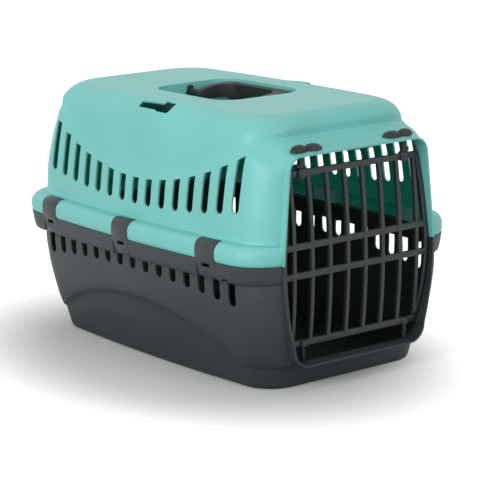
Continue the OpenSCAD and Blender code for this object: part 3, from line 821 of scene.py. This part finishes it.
class CARRIER_OT_latches(bpy.types.Operator):
    """Two lift pins, each with a domed grip of two lobes"""
    bl_idname = "carrier.latches"
    bl_label = "Lift pins"

    def execute(self, context):
        skin = moulded_polypropylene("moulded nylon, grip black", colours().grip, "#22282A",
                                     0.52, 1.1, 0.0001)
        for node, side in (("latch_left", -1), ("latch_right", 1)):
            piece = self.latch(node + "_moulding", side)
            finish_piece(piece, node, node, skin)
        return {"FINISHED"}

    def latch(self, name, side):
        """The long lobe points to the middle of the door."""
        pin_x, pin_y = side * PIN_X, (PIN_Y + SHIFT_Y) * MM
        seat = LIP_Z + 3.6
        foot = LIP_Z - 18 - 1.5
        parts = []
        for along, reach_x, reach_y, height in ((15.5, 11, 7.2, 6.2), (-1.5, 9.5, 6.6, 6.6)):
            bpy.ops.object.select_all(action="DESELECT")
            bpy.ops.mesh.primitive_uv_sphere_add(segments=40, ring_count=24, radius=MM, location=(0, 0, 0))
            lobe = bpy.context.object
            bpy.ops.object.mode_set(mode="EDIT")
            bpy.ops.transform.resize(value=(reach_x, reach_y, height))
            bpy.ops.mesh.select_all(action="SELECT")
            bpy.ops.mesh.bisect(plane_co=(0, 0, 0), plane_no=(0, 0, 1), use_fill=True, clear_inner=True)
            bpy.ops.mesh.select_all(action="SELECT")
            bpy.ops.transform.translate(value=((pin_x - side * along) * MM, pin_y, seat * MM))
            bpy.ops.object.mode_set(mode="OBJECT")
            parts.append(lobe)
        bpy.ops.object.select_all(action="DESELECT")
        bpy.ops.mesh.primitive_cylinder_add(vertices=40, radius=PIN_D / 2 * MM, depth=(seat + 2 - foot) * MM,
                                            location=(pin_x * MM, pin_y, (seat + 2 + foot) / 2 * MM))
        stem = bpy.context.object
        bpy.ops.object.transform_apply(location=True, rotation=False, scale=False)
        stem.name = stem.data.name = name
        barb_x = side * (PIN_X + 3) * MM
        bpy.ops.object.select_all(action="DESELECT")
        bpy.ops.mesh.primitive_cube_add(size=MM, location=(0, 0, 0))
        barb = bpy.context.object
        bpy.ops.object.mode_set(mode="EDIT")
        bpy.ops.transform.resize(value=(6, 4, 3.6))
        bpy.ops.mesh.bevel(offset=0.5 * MM, segments=2, affect="EDGES")
        bpy.ops.mesh.select_all(action="SELECT")
        bpy.ops.transform.translate(value=(barb_x, pin_y, (LIP_Z - 10.5) * MM))
        bpy.ops.object.mode_set(mode="OBJECT")
        combine(stem, [barb], "UNION")
        for lobe in parts:
            combine(stem, [lobe], "UNION")
        only(stem)
        bpy.ops.object.shade_smooth_by_angle(angle=math.radians(40))
        return stem


class CARRIER_OT_handle(bpy.types.Operator):
    """Folding handle: arched arms, ribbed grip, hubs, axle stubs and stops"""
    bl_idname = "carrier.handle"
    bl_label = "Handle"

    def execute(self, context):
        skin = moulded_polypropylene("moulded nylon, handle black", colours().grip, "#22282A",
                                     0.6, 1.1, 0.0001)
        # Side view from the hinge line: under the arm and the grip, then back over the top.
        profile = [(-4.2, -1.5), (-2.6, -4), (0, -5.2), (8, -6), (24, -5.8), (32, -6.2), (38, -7.6),
                   (43, -10.6), (47, -12.3), (50, -11.6), (REACH, -9), (REACH, 5), (REACH - 1.2, 7),
                   (REACH - 3.5, 8.2), (44, 8.7), (36, 8.8), (26, 8.4), (18, 7.7), (11, 6.6), (5, 5.2),
                   (0, 3.8), (-3, 2.4)]
        side_view = [(x, HINGE_Z + z) for x, z in profile]
        piece = prism("handle_moulding", side_view, "y", -GRIP_HY - 5, GRIP_HY + 5)
        bail = prism("bail", self.bail(-10, REACH, GRIP_HY, GRIP_R), "z", HINGE_Z - 20, HINGE_Z + 20)
        opening = self.bail(-11, REACH - GRIP_DEPTH, GRIP_HY - ARM_W, 17)
        hollow(bail, [prism("hand_opening", opening, "z", HINGE_Z - 25, HINGE_Z + 25)])
        combine(piece, [bail], "INTERSECT")
        soften(piece, sizes().grip_edge, angle=40, segments=3)
        self.both_ends(piece, "hub", circle(0, HINGE_Z, HUB_R, 40), GRIP_HY - 2, TUB_HY - GAP)
        self.both_ends(piece, "axle", circle(0, HINGE_Z, AXLE_D / 2, 40), TUB_HY - 4.5, TUB_HY + 2.5)
        stop = [(2.4, HINGE_Z)] + arc_points(0, HINGE_Z + 5.6, 2.4, 0, math.pi, 10) + [(-2.4, HINGE_Z)]
        self.both_ends(piece, "stop", stop, TUB_HY - GAP - 4.4, TUB_HY - GAP)
        grooves = []
        for i in range(-6, 7):
            low, high = i * GROOVE_PITCH - GROOVE_W / 2, i * GROOVE_PITCH + GROOVE_W / 2
            outline = [(38, low), (60, low), (60, high), (38, high)]
            grooves.append(prism(f"groove_{i}", outline, "z", HINGE_Z + 6.2, HINGE_Z + 20))
        hollow(piece, grooves)
        only(piece)
        bpy.ops.object.shade_smooth_by_angle(angle=math.radians(38))
        finish_piece(piece, "handle", "handle", skin)
        return {"FINISHED"}

    def both_ends(self, piece, name, outline, near, far):
        """Adds the same form at both ends of the hinge line."""
        forms = []
        for side in (-1, 1):
            start, end = sorted((side * near, side * far))
            forms.append(prism(f"{name}_{side}", outline, "y", start, end))
        combine(piece, forms, "UNION")

    def bail(self, start, end, half, radius):
        """Plan of two arms joined by a grip, open at the hinge line."""
        return ([(start, -half)] + arc_points(end - radius, -half + radius, radius, -math.pi / 2, 0, 12)
                + arc_points(end - radius, half - radius, radius, 0, math.pi / 2, 12) + [(start, half)])


class CARRIER_OT_clips(bpy.types.Operator):
    """Six rim clips"""
    bl_idname = "carrier.clips"
    bl_label = "Rim clips"

    def execute(self, context):
        skin = moulded_polypropylene("moulded nylon, charcoal", colours().fitting, "#384043",
                                     0.42, 1.1, 0.0001)
        for node, obj in frame["nodes"].items():
            if node.startswith("clip_"):
                piece = merged_copy(node, node + "_moulding")
                soften(piece, sizes().fitting_edge, angle=40)
                finish_piece(piece, obj["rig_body"], node, skin)
        return {"FINISHED"}


# Camera of the photograph: degrees, metres, and the focal length in pixels of its 490-pixel frame.
CAM_AZ, CAM_EL, CAM_ROLL = -37.67, 12.77, -1.08
CAM_SHIFT = (0.01432, 0.09847)
CAM_CENTRE = (0, 0.003, 0.002)
CAM_DISTANCE = 2.30167
CAM_FOCAL_PX = 2123.0
PHOTO_PX = 490.0
SENSOR_MM = 36.0
LAMP_AIM = (0, 0, 0.12)


class CARRIER_OT_studio(bpy.types.Operator):
    """White sweep with a painted shadow by the carrier, soft lamps and the camera of the product shot"""
    bl_idname = "carrier.studio"
    bl_label = "Studio"

    def execute(self, context):
        self.floor()
        self.lamps(context)
        self.camera(context)
        return {"FINISHED"}

    def seen_rays(self, tree):
        """Light Path's outputs, and one value that is 1 where the camera or a gloss sees the white."""
        rays = add(tree, "ShaderNodeLightPath").outputs
        seen = add(tree, "ShaderNodeMath", {0: rays["Is Camera Ray"], 1: rays["Is Glossy Ray"]},
                   operation="MAXIMUM")
        return rays, seen.outputs["Value"]

    def floor(self):
        material, tree = blank_material("white studio floor")
        rays, seen = self.seen_rays(tree)
        tint = add(tree, "ShaderNodeMix", {"Factor": rays["Is Camera Ray"]}, data_type="RGBA")
        tint.inputs["A"].default_value = (0.5, 0.5, 0.5, 1.0)
        tint.inputs["B"].default_value = (0.8, 0.8, 0.8, 1.0)
        matt = add(tree, "ShaderNodeBsdfDiffuse", {"Color": tint.outputs["Result"]})
        # Painted shadow: the floor's own white glow is held back in an oval beside the carrier, shifted
        # towards its near side and front, so the floor there shows darker; the lamps' real shadow also falls
        # there, and the glow takes over further out.
        place = add(tree, "ShaderNodeTexCoord").outputs["Object"]
        painted_shadow_oval = add(tree, "ShaderNodeMapping", {"Vector": place}, Location=(0.087, 0.02, 0.0),
                   Scale=(1.45, 1.0, 1.0))
        far = add(tree, "ShaderNodeVectorMath", {0: painted_shadow_oval.outputs["Vector"]}, operation="LENGTH")
        white = remap(tree, far.outputs["Value"], (0.18, 0.42), (0.02, 0.75), interpolation_type="SMOOTHSTEP")
        glow_outside_painted_shadow = add(tree, "ShaderNodeMath", {0: seen, 1: white}, operation="MULTIPLY")
        glow = add(tree, "ShaderNodeEmission", {"Strength": glow_outside_painted_shadow.outputs["Value"]},
                   Color=(1.0, 1.0, 1.0, 1.0))
        both = add(tree, "ShaderNodeAddShader", {0: matt.outputs["BSDF"], 1: glow.outputs["Emission"]})
        add(tree, "ShaderNodeOutputMaterial", {"Surface": both.outputs["Shader"]})
        bpy.ops.object.select_all(action="DESELECT")
        bpy.ops.mesh.primitive_plane_add(size=16.0, location=(0, 0, -0.0002))
        floor = bpy.context.object
        floor.name = "studio_floor"
        floor.data.materials.append(material)

    def lamps(self, context):
        world = bpy.data.worlds.new("white surround")
        context.scene.world = world
        world.use_nodes = True
        tree = world.node_tree
        tree.nodes.clear()
        _, seen = self.seen_rays(tree)
        strength = add(tree, "ShaderNodeMix", {"Factor": seen}, data_type="FLOAT")
        strength.inputs["A"].default_value = 0.46
        strength.inputs["B"].default_value = 1.0
        back = add(tree, "ShaderNodeBackground", {"Strength": strength.outputs["Result"]},
                   Color=(1.0, 1.0, 1.0, 1.0))
        add(tree, "ShaderNodeOutputWorld", {"Surface": back.outputs["Background"]})
        for name, place, size, power in (
            ("key_softbox", (-2.6, -0.6, 1.0), 1.6, 38.0),
            ("front_softbox", (0.4, -2.7, 1.3), 1.4, 15.0),
            ("top_softbox", (0.1, 0.3, 2.4), 1.5, 4.0),
        ):
            lamp = bpy.data.lights.new(name, "AREA")
            lamp.size = size
            lamp.energy = power
            holder = bpy.data.objects.new(name, lamp)
            context.scene.collection.objects.link(holder)
            holder.location = place
            aim = Vector(LAMP_AIM) - Vector(place)
            holder.rotation_euler = aim.to_track_quat("-Z", "Y").to_euler()

    def camera(self, context):
        # Found by fitting the rim, the side slots and the door bars to the photograph.
        azimuth, elevation, roll = math.radians(CAM_AZ), math.radians(CAM_EL), math.radians(CAM_ROLL)
        level = math.cos(elevation)
        back = Vector((math.sin(azimuth) * level, -math.cos(azimuth) * level, math.sin(elevation)))
        right = Vector((0, 0, 1)).cross(back).normalized()
        up = back.cross(right)
        across = right * math.cos(roll) + up * math.sin(roll)
        upright = up * math.cos(roll) - right * math.sin(roll)
        turn = Matrix((across, upright, back)).transposed().to_4x4()
        place = across * CAM_SHIFT[0] + upright * CAM_SHIFT[1] + back * CAM_DISTANCE + Vector(CAM_CENTRE)
        data = bpy.data.cameras.new("product_shot")
        data.sensor_width = SENSOR_MM
        data.lens = CAM_FOCAL_PX * SENSOR_MM / PHOTO_PX
        data.clip_start, data.clip_end = 0.05, 50.0
        camera = bpy.data.objects.new("product_shot", data)
        context.scene.collection.objects.link(camera)
        camera.matrix_world = Matrix.Translation(place) @ turn
        context.scene.camera = camera


class CARRIER_PT_panel(bpy.types.Panel):
    """Buttons for each piece"""
    bl_label = "Pet Carrier"
    bl_idname = "CARRIER_PT_panel"
    bl_space_type = "VIEW_3D"
    bl_region_type = "UI"
    bl_category = "Carrier"

    def draw(self, context):
        for name in ("bar_edge", "grip_edge", "fitting_edge"):
            self.layout.prop(context.scene.carrier_sizes, name)
        for name in ("shell", "shell_inside", "base", "base_inside_painted_shade", "grille", "fitting", "grip"):
            self.layout.prop(context.scene.carrier_colours, name)
        for operator in OPERATORS:
            self.layout.operator(operator.bl_idname)


OPERATORS = (CARRIER_OT_top_shell, CARRIER_OT_base_shell, CARRIER_OT_door, CARRIER_OT_latches,
             CARRIER_OT_clips, CARRIER_OT_handle, CARRIER_OT_studio)
CLASSES = (CarrierSizes, CarrierColours) + OPERATORS + (CARRIER_PT_panel,)


def register():
    for entry in CLASSES:
        bpy.utils.register_class(entry)
    bpy.types.Scene.carrier_sizes = bpy.props.PointerProperty(type=CarrierSizes)
    bpy.types.Scene.carrier_colours = bpy.props.PointerProperty(type=CarrierColours)


def unregister():
    del bpy.types.Scene.carrier_colours
    del bpy.types.Scene.carrier_sizes
    for entry in reversed(CLASSES):
        bpy.utils.unregister_class(entry)


def main():
    register()
    bpy.context.scene.view_settings.view_transform = "Standard"
    bpy.ops.carrier.top_shell()
    bpy.ops.carrier.base_shell()
    bpy.ops.carrier.door()
    bpy.ops.carrier.latches()
    bpy.ops.carrier.clips()
    bpy.ops.carrier.handle()
    bpy.ops.carrier.studio()


if __name__ == "__main__":
    main()
